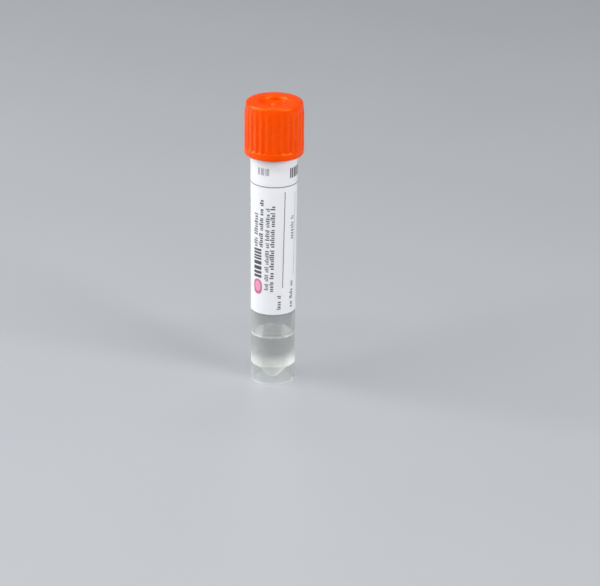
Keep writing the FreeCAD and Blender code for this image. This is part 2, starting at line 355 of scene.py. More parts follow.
@dataclass(frozen=True, kw_only=True)
class OpaqueFinish:
    """What the opaque finishes share: two tones in a pattern, an uneven gloss and a fine relief.

    Attributes:
        name: the material's name.
        tones: its colours where the pattern is weak and where it is strong.
        pattern: the pattern of the tones.
        grain: the pattern of the gloss and the relief, or None where the tones' pattern is theirs.
        grain_span: where in the grain the gloss starts and stops to change.
        roughness: the roughness at those two places.
        relief_mm: the relief's depth, 0 for none.
        relief_strength: how strongly it shows.
    """

    name: str
    tones: tuple[str, str]
    pattern: Pattern
    grain: Pattern | None = None
    grain_span: Pair = tuple(NOISE_SPAN.values())
    roughness: Pair
    relief_mm: float = 0.0
    relief_strength: float = 0.5

    def tone_share(self, tree: bpy.types.NodeTree, pattern: bpy.types.Node) -> bpy.types.Node:
        """Give the share of the second tone, which is the pattern itself unless a finish says more."""
        return pattern

    def body_inputs(self) -> dict[str, object]:
        """Give the shader's inputs that tell what is under the surface."""
        return {}

    def material(self) -> bpy.types.Material:
        """Make the material.

        Returns:
            The node material.
        """
        material, tree = blank_material(self.name)
        place = add_node(tree, "TexCoord").outputs["Object"]
        pattern = add_node(tree, "TexNoise", self.pattern.inputs(place))
        grain = add_node(tree, "TexNoise", self.grain.inputs(place)) if self.grain else pattern
        tint = add_node(
            tree, "Mix", {
                0: self.tone_share(tree, pattern), 6: linear(self.tones[0]),
                7: linear(self.tones[1])}, data_type="RGBA")
        gloss = add_node(
            tree, "MapRange", {
                "Value": grain, "From Min": self.grain_span[0], "From Max": self.grain_span[1],
                "To Min": self.roughness[0], "To Max": self.roughness[1]})
        inputs = {"Base Color": tint.outputs[2], "Roughness": gloss, **self.body_inputs()}
        if self.relief_mm:
            inputs["Normal"] = add_node(
                tree, "Bump", {
                    "Height": grain, "Strength": self.relief_strength,
                    "Distance": self.relief_mm * MM})
        surface = add_node(tree, "BsdfPrincipled", inputs)
        add_node(tree, "OutputMaterial", {"Surface": surface})
        return material


@dataclass(frozen=True, kw_only=True)
class OrangePolyethylene(OpaqueFinish):
    """High-density polyethylene coloured right through, moulded in a spark-eroded mould.

    To the eye it is a saturated orange with a waxy satin sheen; light enters a little way and comes
    out redder, so thin edges glow.
    """

    name: str = "orange_polyethylene_moulded"
    tones: tuple[str, str] = ("#FB4800", "#FF5200")
    gloss_colour: str = "#FFB648"
    ior: float = 1.5
    gloss_level: float = 0.7
    roughness: Pair = (0.24, 0.32)
    pattern: Pattern = Pattern(3.5, detail=3.0, distortion=0.6)
    # Spark-eroded grain is about 0.05 mm across, drawn four times coarser so that it shows.
    grain: Pattern = Pattern(0.2, roughness=0.6)
    relief_mm: float = 0.008
    glow_share: float = 0.75
    glow_spread: tuple[float, float, float] = (1.0, 0.4, 0.08)
    glow_depth_mm: float = 1.0

    def body_inputs(self) -> dict[str, object]:
        """Give the inputs for the warm gloss and for the light that enters the plastic.

        Returns:
            The inputs by name.
        """
        return {
            "IOR": self.ior, "Specular IOR Level": self.gloss_level,
            "Specular Tint": linear(self.gloss_colour), "Subsurface Weight": self.glow_share,
            "Subsurface Radius": self.glow_spread, "Subsurface Scale": self.glow_depth_mm * MM}


@dataclass(frozen=True, kw_only=True)
class CoatedLabelFilm(OpaqueFinish):
    """White synthetic label paper with a calendered coating, rolled round the tube.

    To the eye it is a cool white with a soft sheen and a fine fibre mottle, and a little light gets
    through it.
    """

    name: str = "coated_label_film"
    tones: tuple[str, str] = ("#ECECF0", "#F3F3F6")
    ior: float = 1.5
    roughness: Pair = (0.36, 0.48)
    # Fibres are about 0.03 mm thick and lie in clumps, which are what shows.
    pattern: Pattern = Pattern(0.35, detail=4.0, roughness=0.6)
    relief_mm: float = 0.004
    relief_strength: float = 0.4
    glow_share: float = 0.35
    glow_spread: tuple[float, float, float] = (1.0, 0.95, 0.9)
    glow_depth_mm: float = 0.25

    def body_inputs(self) -> dict[str, object]:
        """Give the inputs for the light that enters the film.

        Returns:
            The inputs by name.
        """
        return {
            "IOR": self.ior, "Subsurface Weight": self.glow_share,
            "Subsurface Radius": self.glow_spread, "Subsurface Scale": self.glow_depth_mm * MM}


class InkTone(Enum):
    """The inks on the label."""

    BLACK = "#2C2C31"
    GREY = "#6B6C72"
    PALE = "#A9AAB0"
    PINK = "#BE5C83"
    ROSE = "#E98FB2"


@dataclass(frozen=True, kw_only=True)
class PrintedInk(OpaqueFinish):
    """Flexographic ink, a few thousandths of a millimetre thick.

    To the eye it is flat colour with a fine speckle where the coating shows through.
    """

    speckle_span: Pair = (0.35, 0.7)
    speckle_share: float = 0.13
    roughness: Pair = (0.42, 0.55)
    # The screen's dots are about 0.07 mm across, drawn three times coarser so that they show.
    pattern: Pattern = Pattern(0.2)
    relief_mm: float = 0.002
    relief_strength: float = 0.3

    @classmethod
    def mixed(cls, tone: InkTone) -> "PrintedInk":
        """Mix the ink of one tone, whose second colour is the coating that shows through."""
        return cls(
            name=f"printed_ink_{tone.name.lower()}", tones=(tone.value, CoatedLabelFilm.tones[1]))

    def tone_share(self, tree: bpy.types.NodeTree, pattern: bpy.types.Node) -> bpy.types.Node:
        """Let the coating show through in the speckles only.

        Args:
            tree: the material's node tree.
            pattern: the speckles' pattern.

        Returns:
            The node that gives the coating's share.
        """
        return add_node(
            tree, "MapRange", {
                "Value": pattern, "From Min": self.speckle_span[0],
                "From Max": self.speckle_span[1], "To Max": self.speckle_share})


@dataclass(frozen=True)
class TransportLiquid:
    """Buffered saline for carrying a specimen, poured in clear.

    To the eye it is water with a barely grey-green cast. Its surface carries painted light, white
    and faint in the middle, stronger near the wall, and strongest at the left and right of the bore.
    A pair of lengths tells where something starts to show and where it shows in full.
    """

    colour: str = "#F8F8F5"
    cloud_colour: str = "#F0F0EC"
    ior: float = 1.333
    roughness: float = 0.03
    lamp_share: float = 0.92
    cloud: Pattern = Pattern(2.5)
    # Painted highlight on the surface: its share in the middle, near the wall and at the left and
    # right of the bore.
    painted_light_middle_share: float = 0.08
    painted_light_wall_share: float = 0.4
    painted_light_side_share: float = 1.0
    painted_light_wall_mm: Pair = (3.0, 4.8)
    painted_light_side_mm: Pair = (1.8, 3.6)
    painted_light_level_mm: Pair = (13.25, 13.45)
    # The painted surface light lies in patches, so that it is uneven.
    painted_light_patch: Pattern = Pattern(0.8, detail=3.0)
    between_patches_share: float = 0.5

    def material(self) -> bpy.types.Material:
        """Make the material.

        Returns:
            The node material.
        """
        material, tree = blank_material("transport_liquid_saline")
        place = add_node(tree, "TexCoord").outputs["Object"]
        cloud = add_node(tree, "TexNoise", self.cloud.inputs(place))
        tint = add_node(
            tree, "Mix", {0: cloud, 6: linear(self.cloud_colour), 7: linear(self.colour)},
            data_type="RGBA")
        axes = add_node(tree, "SeparateXYZ", {"Vector": place})
        across = add_node(tree, "VectorMath", {0: place, 1: (1.0, 1.0, 0.0)}, operation="MULTIPLY")
        radius = add_node(tree, "VectorMath", {0: across}, operation="LENGTH").outputs["Value"]
        aside = add_node(tree, "Math", {0: axes.outputs["X"]}, operation="ABSOLUTE")
        shown = []
        for value, (none, full), least, most in (
            (axes.outputs["Z"], self.painted_light_level_mm, 0.0, 1.0),
            (radius, self.painted_light_wall_mm, self.painted_light_middle_share, self.painted_light_wall_share),
            (aside, self.painted_light_side_mm, 0.0, self.painted_light_side_share),
        ):
            shown.append(add_node(
                tree, "MapRange", {
                    "Value": value, "From Min": none * MM, "From Max": full * MM,
                    "To Min": least, "To Max": most}, **EASED))
        top, ring, sides = shown
        patch = add_node(tree, "TexNoise", self.painted_light_patch.inputs(place))
        patchy = add_node(
            tree, "MapRange", {
                "Value": patch, **NOISE_SPAN, "To Min": self.between_patches_share})
        # Painted highlight: the surface is whiter near the wall and at the left and right of the bore.
        painted_light = add_node(tree, "Math", {0: sides, 1: ring}, operation="MAXIMUM")
        for factor in (patchy, top):
            painted_light = add_node(tree, "Math", {0: painted_light, 1: factor}, operation="MULTIPLY")
        clear = add_node(tree, "Math", {0: 1.0, 1: painted_light}, operation="SUBTRACT")
        surface = add_node(
            tree, "BsdfPrincipled", {
                "Base Color": tint.outputs[2], "Roughness": self.roughness, "IOR": self.ior,
                "Transmission Weight": clear})
        finish_clear(tree, surface, self.lamp_share)
        return material


@dataclass(frozen=True, kw_only=True)
class SatinAcrylicBoard(OpaqueFinish):
    """Pale acrylic sheet with a satin face, for the floor.

    To the eye it is an even pale grey that mirrors what stands on it very softly.
    """

    name: str = "satin_acrylic_board"
    tones: tuple[str, str] = ("#A9ACB0", "#ACAFB3")
    roughness: Pair = (0.44, 0.5)
    pattern: Pattern = Pattern(90.0)
    grain_span: Pair = (0.0, 1.0)


# Mesh helpers
# ------------


def smooth_step(share: float) -> float:
    """Ease a share from 0 to 1, level at both ends."""
    share = min(1.0, max(0.0, share))
    return share * share * (3.0 - 2.0 * share)


def soft_max(first: float, second: float, blend: float) -> float:
    """Give the larger of two heights, with a fillet where they cross.

    Args:
        first: one height.
        second: the other height.
        blend: how far apart the heights are where the fillet ends.

    Returns:
        The blended height.
    """
    overlap = max(blend - abs(first - second), 0.0) / blend
    return max(first, second) + overlap * overlap * blend / 4.0


def round_place(radius: float, azimuth: float, level: float) -> Vector:
    """Give the point at a radius, an angle from +X in radians and a height, turned into metres."""
    return Vector((radius * math.cos(azimuth), radius * math.sin(azimuth), level)) * MM


def whole_turn(columns: int) -> list[float]:
    """Give so many even angles round the axis, in radians from +X."""
    return [math.tau * column / columns for column in range(columns)]


def rounded_profile(corners: Sequence[tuple[float, float, float]]) -> Profile:
    """Round the corners of an outline in the half plane through the axis.

    Args:
        corners: radius, height and rounding of each corner, in millimetres.

    Returns:
        The outline's points. Each rounding has a point a little before and after it, which keeps the
        flats beside it flat to the eye.
    """
    points: Profile = [corners[0][:2]]
    for before, here, after in zip(corners, corners[1:], corners[2:]):
        corner = Vector(here[:2])
        back = Vector(before[:2]) - corner
        ahead = Vector(after[:2]) - corner
        half = back.angle(ahead) / 2.0
        if here[2] <= 0.0 or half > FLAT_HALF_ANGLE:
            points.append(here[:2])
            continue
        reach = here[2] / math.tan(half)
        shorter = min(back.length, ahead.length)
        longest = ROUNDING_SHARE * shorter
        radius = here[2] * min(1.0, longest / reach)
        reach = min(reach, longest)
        start = corner + back.normalized() * reach
        end = corner + ahead.normalized() * reach
        middle = corner + (back.normalized() + ahead.normalized()).normalized() * (
            radius / math.sin(half))
        guard = min(GUARD_SHARE * radius, 0.5 * (shorter - reach))
        points.append(tuple(start + back.normalized() * guard))
        arc_step = ARC_STEP * (2.0 if here[2] < SMALL_ROUNDING else 1.0)
        steps = max(2, round(math.degrees(math.pi - 2.0 * half) / arc_step))
        first_arm = start - middle
        sweep = first_arm.angle_signed(end - middle)
        for step in range(steps + 1):
            points.append(tuple(middle + Matrix.Rotation(-sweep * step / steps, 2) @ first_arm))
        points.append(tuple(end + ahead.normalized() * guard))
    points.append(corners[-1][:2])
    return points


def filled_profile(points: Profile, step: float, low: float, high: float) -> Profile:
    """Add points along the upright stretches of an outline between two heights.

    Args:
        points: the outline.
        step: longest rise between two points, in millimetres.
        low: lower end of the stretch.
        high: upper end of the stretch.

    Returns:
        The outline with the added points.
    """
    filled: Profile = [points[0]]
    for here, after in zip(points, points[1:]):
        cuts = {0.0, 1.0}
        rise = after[1] - here[1]
        if abs(rise) > step:
            first = min(max((low - here[1]) / rise, 0.0), 1.0)
            last = min(max((high - here[1]) / rise, 0.0), 1.0)
            first, last = min(first, last), max(first, last)
            count = math.ceil(abs(rise) * (last - first) / step)
            cuts.update(first + (last - first) * cut / count for cut in range(count + 1) if count)
        for cut in sorted(cuts - {0.0}):
            filled.append((here[0] + (after[0] - here[0]) * cut, here[1] + rise * cut))
    return filled


def turned_rings(
    points: Profile,
    azimuths: Sequence[float],
    relief: Callable[[float, float, float], float] | None = None,
) -> Rings:
    """Turn an outline round the axis.

    Args:
        points: the outline, in millimetres.
        azimuths: angles of the columns, in radians from +X.
        relief: gives what is added to the radius at an azimuth, a radius and a height.

    Returns:
        One ring of points for each point of the outline, in metres. A point on the axis is a ring of
        one.
    """
    rings: Rings = []
    for radius, level in points:
        columns = azimuths if radius > SPARE else (0.0,)
        rings.append([
            round_place(radius + (relief(azimuth, radius, level) if relief else 0.0), azimuth, level)
            for azimuth in columns])
    return rings


def link_object(name: str, data: bpy.types.ID) -> bpy.types.Object:
    """Make an object of a mesh, a lamp or a camera, and link it to the scene.

    Args:
        name: the object's name.
        data: what it shows.

    Returns:
        The object.
    """
    made = bpy.data.objects.new(name, data)
    bpy.context.scene.collection.objects.link(made)
    return made


class Skin:
    """Collects closed skins and turns them into one mesh object."""

    def __init__(self) -> None:
        """Start with no faces."""
        self.points: list[Vector] = []
        self.faces: list[tuple[int, ...]] = []

    def add_rings(self, rings: Rings) -> None:
        """Add a closed skin through rings of points.

        Args:
            rings: rings in order. The first and last are points on the axis, or else are closed with a
                flat face.
        """
        starts = []
        for ring in rings:
            starts.append(len(self.points))
            self.points.extend(ring)
        for ring, after, here, there in zip(rings, rings[1:], starts, starts[1:]):
            count = max(len(ring), len(after))
            for column in range(count):
                beside = (column + 1) % count
                if len(ring) == 1:
                    self.faces.append((here, there + column, there + beside))
                elif len(after) == 1:
                    self.faces.append((here + column, there, here + beside))
                else:
                    self.faces.append(
                        (here + column, there + column, there + beside, here + beside))
        for ring, start in ((rings[0], starts[0]), (rings[-1], starts[-1])):
            if len(ring) > 1:
                self.faces.append(tuple(range(start, start + len(ring))))

    def place(
        self, name: str, material: bpy.types.Material, body: Body, slot: Slot, *nodes: str
    ) -> None:
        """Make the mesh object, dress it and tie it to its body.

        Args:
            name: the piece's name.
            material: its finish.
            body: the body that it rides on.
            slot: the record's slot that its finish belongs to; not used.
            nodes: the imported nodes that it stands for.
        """
        mesh = bpy.data.meshes.new(name)
        work = bmesh.new()
        corners = [work.verts.new(point) for point in self.points]
        for face in self.faces:
            work.faces.new([corners[index] for index in face])
        bmesh.ops.recalc_face_normals(work, faces=work.faces)
        for face in work.faces:
            face.smooth = True
        for edge in work.edges:
            edge.smooth = edge.calc_face_angle(0.0) < CREASE
        work.to_mesh(mesh)
        work.free()
        piece = link_object(name, mesh)
        piece.data.materials.append(material)
        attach(piece, body.value)
        if nodes:
            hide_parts(*nodes)
        log.info("%s: %d faces, rides on %s", name, len(mesh.polygons), body.value)


# Sub-assemblies
# --------------


@dataclass(frozen=True)
class ScrewThread:
    """A right-handed thread of rounded trapezium section, which fades in and out at its ends."""

    pitch: float
    depth: float
    root: float
    crest: float
    start: float
    turns: float
    fade_turns: float = 0.1

    @property
    def reach(self) -> Pair:
        """Give the heights between which the thread lies, with some to spare."""
        return self.start - self.root, self.start + self.turns * self.pitch + self.root

    def height(self, azimuth: float, level: float) -> float:
        """Work out how far the thread stands out at a place.

        Args:
            azimuth: angle from +X, in radians.
            level: height above the foot.

        Returns:
            The height above the wall.
        """
        travelled = (level - self.start) / self.pitch
        here = azimuth / math.tau % 1.0
        turn = max(0.0, min(self.turns, here + round(travelled - here)))
        if abs((turn - here) - round(turn - here)) > 1e-6:
            return 0.0
        away = abs(travelled - turn) * self.pitch
        flank = (self.root / 2.0 - away) / ((self.root - self.crest) / 2.0)
        end = min(turn, self.turns - turn) / self.fade_turns
        return self.depth * smooth_step(flank) * smooth_step(end)


@dataclass
class SpecimenTube:
    """The clear tube: a conical bottom inside a hollow skirt, a tapered body and a threaded neck."""

    height: float = 77.75
    foot_radius: float = 6.0
    straight: float = 20.0
    body_top_radius: float = 6.25
    body_top: float = 65.65
    neck_foot: float = 65.95
    neck_radius: float = 5.95
    mouth_radius: float = 5.25
    bore_floor_radius: float = 5.15
    bore_floor: float = 6.365
    bore_floor_rounding: float = 0.8
    cone_floor_radius: float = 1.192
    cone_floor: float = 1.85
    cone_floor_rounding: float = 0.5
    skirt_inside: float = 5.15
    cone_shoulder: float = 5.0
    shoulder_rounding: float = 0.08
    tip_radius: float = 1.6
    tip_height: float = 0.95
    foot_roundings: Pair = (0.3, 0.25)
    edge_rounding: float = 0.15
    rim_rounding: float = 0.2
    columns: int = 264
    thread_step: float = 0.05
    thread: ScrewThread = ScrewThread(2.6, 0.5, root=1.1, crest=0.45, start=68.15, turns=2.5)

    @property
    def cone_slope(self) -> float:
        """Give how far the cone's faces rise for each millimetre outwards."""
        return (self.cone_shoulder - self.tip_height) / (self.skirt_inside - self.tip_radius)

    def body_radius(self, level: float) -> float:
        """Give the body's outside radius at a height, in millimetres."""
        share = max(0.0, level - self.straight) / (self.body_top - self.straight)
        return self.foot_radius + (self.body_top_radius - self.foot_radius) * share

    def bore_radius(self, level: float) -> float:
        """Give the bore's radius at a height, in millimetres."""
        share = (level - self.bore_floor) / (self.height - self.bore_floor)
        return self.bore_floor_radius + (self.mouth_radius - self.bore_floor_radius) * share

    def profile(self) -> Profile:
        """Trace the wall from under the tip, round the foot, over the rim and back inside.

        Returns:
            The outline's points, in millimetres.
        """
        return rounded_profile([
            (0.0, self.tip_height, 0.0),
            (self.tip_radius, self.tip_height, self.edge_rounding),
            (self.skirt_inside, self.cone_shoulder, self.shoulder_rounding),
            (self.skirt_inside, 0.0, self.foot_roundings[0]),
            (self.foot_radius, 0.0, self.foot_roundings[1]),
            (self.foot_radius, self.straight, 0.0),
            (self.body_top_radius, self.body_top, self.edge_rounding),
            (self.neck_radius, self.neck_foot, self.edge_rounding),
            (self.neck_radius, self.height, self.rim_rounding),
            (self.mouth_radius, self.height, self.rim_rounding),
            (self.bore_floor_radius, self.bore_floor, self.bore_floor_rounding),
            (self.cone_floor_radius, self.cone_floor, self.cone_floor_rounding),
            (0.0, self.cone_floor, 0.0),
        ])

    def relief(self, azimuth: float, radius: float, level: float) -> float:
        """Add the thread to the outside of the neck.

        Args:
            azimuth: angle from +X, in radians.
            radius: the wall's radius there.
            level: height above the foot.

        Returns:
            What is added to the radius.
        """
        on_neck = abs(radius - self.neck_radius) < SPARE and level > self.neck_foot
        return self.thread.height(azimuth, level) if on_neck else 0.0

    def build(self) -> None:
        """Make the tube."""
        outline = self.profile()
        rim = max(range(len(outline)), key=lambda index: outline[index][1])
        outside = filled_profile(outline[:rim + 1], self.thread_step, *self.thread.reach)
        skin = Skin()
        skin.add_rings(
            turned_rings(outside + outline[rim + 1:], whole_turn(self.columns), self.relief))
        finish = ClearPolypropylene(
            self.cone_slope, self.tip_height - self.cone_slope * self.tip_radius)
        skin.place("tube_clear", finish.material(), Body.TUBE, Slot.TUBE, "tube")


@dataclass
class ScrewCap:
    """The orange cap: ribs round its side, a recess in its top, and inside it a thread, a seal plug
    and a socket that grips the swab's stick."""

    foot: float = 65.10
    foot_rounding: float = 0.5
    top: float = 80.0
    wall_radius: float = 7.75
    bore: float = 6.6
    lead: float = 0.3
    lead_rounding: float = 0.1
    crown_edge: float = 79.9
    shoulder: float = 1.0
    band_radius: float = 8.03
    band_top: float = 66.85
    band_ledge: float = 0.5
    ledge_roundings: Pair = (0.35, 0.25)
    rib_count: int = 28
    # Each rib is an upright rod that is sunk in the wall. Over the run-out its radius shrinks from
    # rib_round to rib_tip, and near its upper end it sinks into the wall.
    rib_radius: float = 8.0
    rib_round: float = 0.6
    rib_full: float = 76.6
    rib_high: float = 78.9
    rib_tip: float = 0.32
    rib_fade: float = 0.8
    rib_fillet: float = 0.27
    recess_side: float = 4.15
    recess_rounding: float = 1.1
    recess_floor_radius: float = 3.85
    recess_floor: float = 78.5
    recess_floor_rounding: float = 0.25
    nub_radius: float = 1.2
    nub_top_radius: float = 0.7
    nub_top: float = 79.3
    nub_roundings: Pair = (0.3, 0.2)
    gate_radius: float = 0.3
    gate_depth: float = 0.1
    gate_roundings: Pair = (0.1, 0.06)
    seat: float = 77.8
    seat_rounding: float = 0.2
    ceiling: float = 77.5
    ceiling_rounding: float = 0.25
    plug_outside: float = 5.15
    plug_inside: float = 4.45
    plug_foot: float = 75.2
    plug_lead: float = 0.3
    plug_roundings: tuple[float, float, float] = (0.15, 0.3, 0.12)
    grip_radius: float = 1.15
    grip_foot: float = 75.5
    grip_roundings: Pair = (0.5, 0.1)
    socket_foot: float = 70.8
    socket_mouth: float = 2.4
    socket_outside: float = 2.9
    socket_root: float = 3.1
    socket_rounding: float = 0.15
    # Columns of points across half a rib's spacing, closer together where the rib meets the wall.
    half_columns: tuple[float, ...] = (0.11, 0.3, 0.42, 0.54, 0.66, 0.85)
    # Longest rise between two rings of points at the ledge, along the run-out and along the ribs.
    ledge_step: float = 0.08
    ledge_spare: float = 0.2
    run_out_step: float = 0.2
    rib_step: float = 1.5
    thread_step: float = 0.08
    thread: ScrewThread = ScrewThread(2.6, 0.45, root=1.1, crest=0.45, start=67.3, turns=2.5)

    @property
    def ledge_top(self) -> float:
        """Give the height at which the band's ledge meets the wall."""
        return self.band_top + self.band_ledge

    def azimuths(self) -> list[float]:
        """List the angles of the columns.

        Returns:
            The angles in radians from +X, rib by rib.
        """
        offsets = [-share for share in reversed(self.half_columns)] + list(self.half_columns)
        half = math.pi / self.rib_count
        return [
            (2.0 * rib + offset) * half for rib in range(self.rib_count) for offset in offsets]

    def rib_height(self, azimuth: float, radius: float, level: float) -> float:
        """Work out how far a rib stands out of the wall, or of the band's ledge, at a place.

        Args:
            azimuth: angle from +X, in radians.
            radius: radius of the wall or the ledge there.
            level: height above the foot of the tube.

        Returns:
            What the rib adds to that radius.
        """
        spacing = math.tau / self.rib_count
        across = abs(self.wall_radius * ((azimuth + spacing / 2.0) % spacing - spacing / 2.0))
        run_out = max(level - self.rib_full, 0.0) / (self.rib_high - self.rib_full)
        rod = self.rib_round + (self.rib_tip - self.rib_round) * run_out
        sunk = radius - self.rib_radius + self.rib_round
        if across < rod:
            rise = math.sqrt(rod ** 2 - across ** 2) - sunk
        else:
            rise = -sunk - (across - rod)
        ends = smooth_step((level - self.band_top) / self.band_ledge) * smooth_step(
            (self.rib_high - level) / self.rib_fade)
        return ends * soft_max(rise, 0.0, self.rib_fillet)

    def profile(self) -> Profile:
        """Trace the cap from the gate nub over the outside, round the foot and back inside.

        Returns:
            The outline's points, in millimetres.
        """
        return rounded_profile([
            (0.0, self.nub_top - self.gate_depth, 0.0),
            (0.5 * self.gate_radius, self.nub_top - self.gate_depth, self.gate_roundings[0]),
            (self.gate_radius, self.nub_top, self.gate_roundings[1]),
            (self.nub_top_radius, self.nub_top, self.nub_roundings[0]),
            (self.nub_radius, self.recess_floor, self.nub_roundings[1]),
            (self.recess_floor_radius, self.recess_floor, self.recess_floor_rounding),
            (self.recess_side, self.top, self.recess_rounding),
            (self.wall_radius, self.crown_edge, self.shoulder),
            (self.wall_radius, self.ledge_top, self.ledge_roundings[0]),
            (self.band_radius, self.band_top, self.ledge_roundings[1]),
            (self.band_radius, self.foot, self.foot_rounding),
            (self.bore + self.lead, self.foot, self.lead_rounding),
            (self.bore, self.foot + self.lead, self.lead_rounding),
            (self.bore, self.seat, self.seat_rounding),
            (self.plug_outside, self.seat, self.plug_roundings[0]),
            (self.plug_outside, self.plug_foot + 2.0 * self.plug_lead, self.plug_roundings[1]),
            (self.plug_outside - self.plug_lead, self.plug_foot, self.plug_roundings[2]),
            (self.plug_inside, self.plug_foot, self.plug_roundings[2]),
            (self.plug_inside, self.ceiling, self.ceiling_rounding),
            (self.socket_root, self.ceiling, self.ceiling_rounding),
            (self.socket_outside, self.socket_foot, self.socket_rounding),
            (self.socket_mouth, self.socket_foot, self.socket_rounding),
            (self.grip_radius, self.grip_foot, self.grip_roundings[0]),
            (self.grip_radius, self.ceiling, self.grip_roundings[1]),
            (0.0, self.ceiling, 0.0),
        ])

    def relief(self, azimuth: float, radius: float, level: float) -> float:
        """Add the ribs to the outside and the thread to the bore.

        Args:
            azimuth: angle from +X, in radians.
            radius: the wall's radius there.
            level: height above the foot of the tube.

        Returns:
            What is added to the radius.
        """
        if radius > self.wall_radius - SPARE:
            return self.rib_height(azimuth, radius, level)
        if abs(radius - self.bore) < SPARE:
            return -self.thread.height(azimuth, level)
        return 0.0

    def build(self) -> None:
        """Make the cap."""
        outline = self.profile()
        foot = min(range(len(outline)), key=lambda index: outline[index][1])
        outside = outline[:foot + 1]
        for step, low, high in (
            (self.ledge_step, self.band_top, self.ledge_top + self.ledge_spare),
            (self.run_out_step, self.rib_full, self.rib_high),
            (self.rib_step, self.ledge_top, self.rib_full),
        ):
            outside = filled_profile(outside, step, low, high)
        seat = foot + 1 + sum(radius > self.bore - SPARE for radius, _ in outline[foot + 1:])
        inside = filled_profile(outline[foot + 1:seat], self.thread_step, *self.thread.reach)
        skin = Skin()
        skin.add_rings(
            turned_rings(outside + inside + outline[seat:], self.azimuths(), self.relief))
        skin.place("cap_ribbed", OrangePolyethylene().material(), Body.CAP, Slot.CAP, "cap")


@dataclass
class WrapLabel:
    """The label: one film rolled round the body, its end lapping over its start at the back.

    The lap, its middle, the climb on to it and the stops are in degrees. The stops are extra
    sections near the film's two ends, where its corners are rounded.
    """

    tube: SpecimenTube
    bottom: float = 20.7
    top: float = 64.75
    film: float = 0.09
    glue: float = 0.015
    lap: float = 30.0
    lap_middle: float = 90.0
    climb: float = 7.0
    climb_steps: int = 8
    corner: float = 1.2
    degree_step: float = 2.0
    rise_step: float = 4.0
    stops: tuple[float, ...] = (0.02, 0.1, 0.4, 1.0, 2.0, 3.5, 5.5, 8.0, 11.0)

    def lift(self, turned: float) -> float:
        """Give how far the film's inner face is off the tube, so many degrees after its start."""
        over = self.film + self.glue
        return self.glue + over * smooth_step((turned - (360.0 - self.climb)) / self.climb)

    def surface(self, level: float) -> float:
        """Give the radius of the film's outer face where it is a single layer."""
        return self.tube.body_radius(level) + self.glue + self.film

    def section(self, turned: float) -> list[Vector]:
        """Cut the film so many degrees after its start.

        Args:
            turned: degrees after the film's start.

        Returns:
            The section's points in metres, up the outer face and down the inner one.
        """
        azimuth = math.radians(self.lap_middle - self.lap / 2.0 + turned)
        radius = self.tube.body_radius(self.top)
        from_end = math.radians(min(turned, 360.0 + self.lap - turned)) * radius
        cut = 0.0
        if from_end < self.corner:
            cut = self.corner - math.sqrt(self.corner ** 2 - (self.corner - from_end) ** 2)
        low, high = self.bottom + cut, self.top - cut
        count = max(2, math.ceil((high - low) / self.rise_step))
        levels = [low + (high - low) * step / count for step in range(count + 1)]
        inner = self.lift(turned)
        places = [(inner + self.film, level) for level in levels]
        places += [(inner, level) for level in reversed(levels)]
        return [
            round_place(self.tube.body_radius(level) + off, azimuth, level)
            for off, level in places]

    def build(self) -> None:
        """Make the film."""
        whole = 360.0 + self.lap
        turns = {self.degree_step * step for step in range(int(whole / self.degree_step) + 1)}
        turns.update((whole, *self.stops))
        turns.update(whole - stop for stop in self.stops)
        turns.update(
            360.0 - self.climb * step / self.climb_steps for step in range(self.climb_steps + 1))
        skin = Skin()
        skin.add_rings([self.section(turned) for turned in sorted(turns)])
        skin.place("label_wrap", CoatedLabelFilm().material(), Body.TUBE, Slot.LABEL, "label")


@dataclass(frozen=True)
class PrintRow:
    """A row of print that runs up the label, as plain blocks.

    Attributes:
        middle: degrees from the front to the row's middle line at its lower end, + to the right.
        low: height of its lower end, in millimetres.
        high: height of its upper end, in millimetres.
        size: height of a tall block across the row, in millimetres.
        tone: its ink.
        bold: share of a block's place that is ink.
        seed: start of the random sequence that sets the blocks.
    """

    middle: float
    low: float
    high: float
    size: float
    tone: InkTone
    bold: float
    seed: int


@dataclass(frozen=True)
class WritingRule:
    """A thin upright rule to write on.

    Attributes:
        middle: degrees from the front to its lower end, + to the right.
        low: height of its lower end, in millimetres.
        high: height of its upper end, in millimetres.
        width: its width, in millimetres.
        tone: its ink.
    """

    middle: float
    low: float
    high: float
    width: float
    tone: InkTone


@dataclass(frozen=True)
class RoundField:
    """A plain field of colour with round ends.

    Attributes:
        tone: its ink.
        middle: degrees from the front to its middle, + to the right.
        level: height of its middle, in millimetres.
        wide: its width round the label, in millimetres.
        tall: its height, in millimetres.
        above: how much higher than other ink it lies, where it overprints some.
        arc: degrees between its sections.
        least: half the height of its two ends, in millimetres.
        fullness: power of the curve of its ends, 2 for an ellipse.
    """

    tone: InkTone
    middle: float
    level: float
    wide: float
    tall: float
    above: float = 0.0
    arc: float = 0.75
    least: float = 0.04
    fullness: float = 2.5


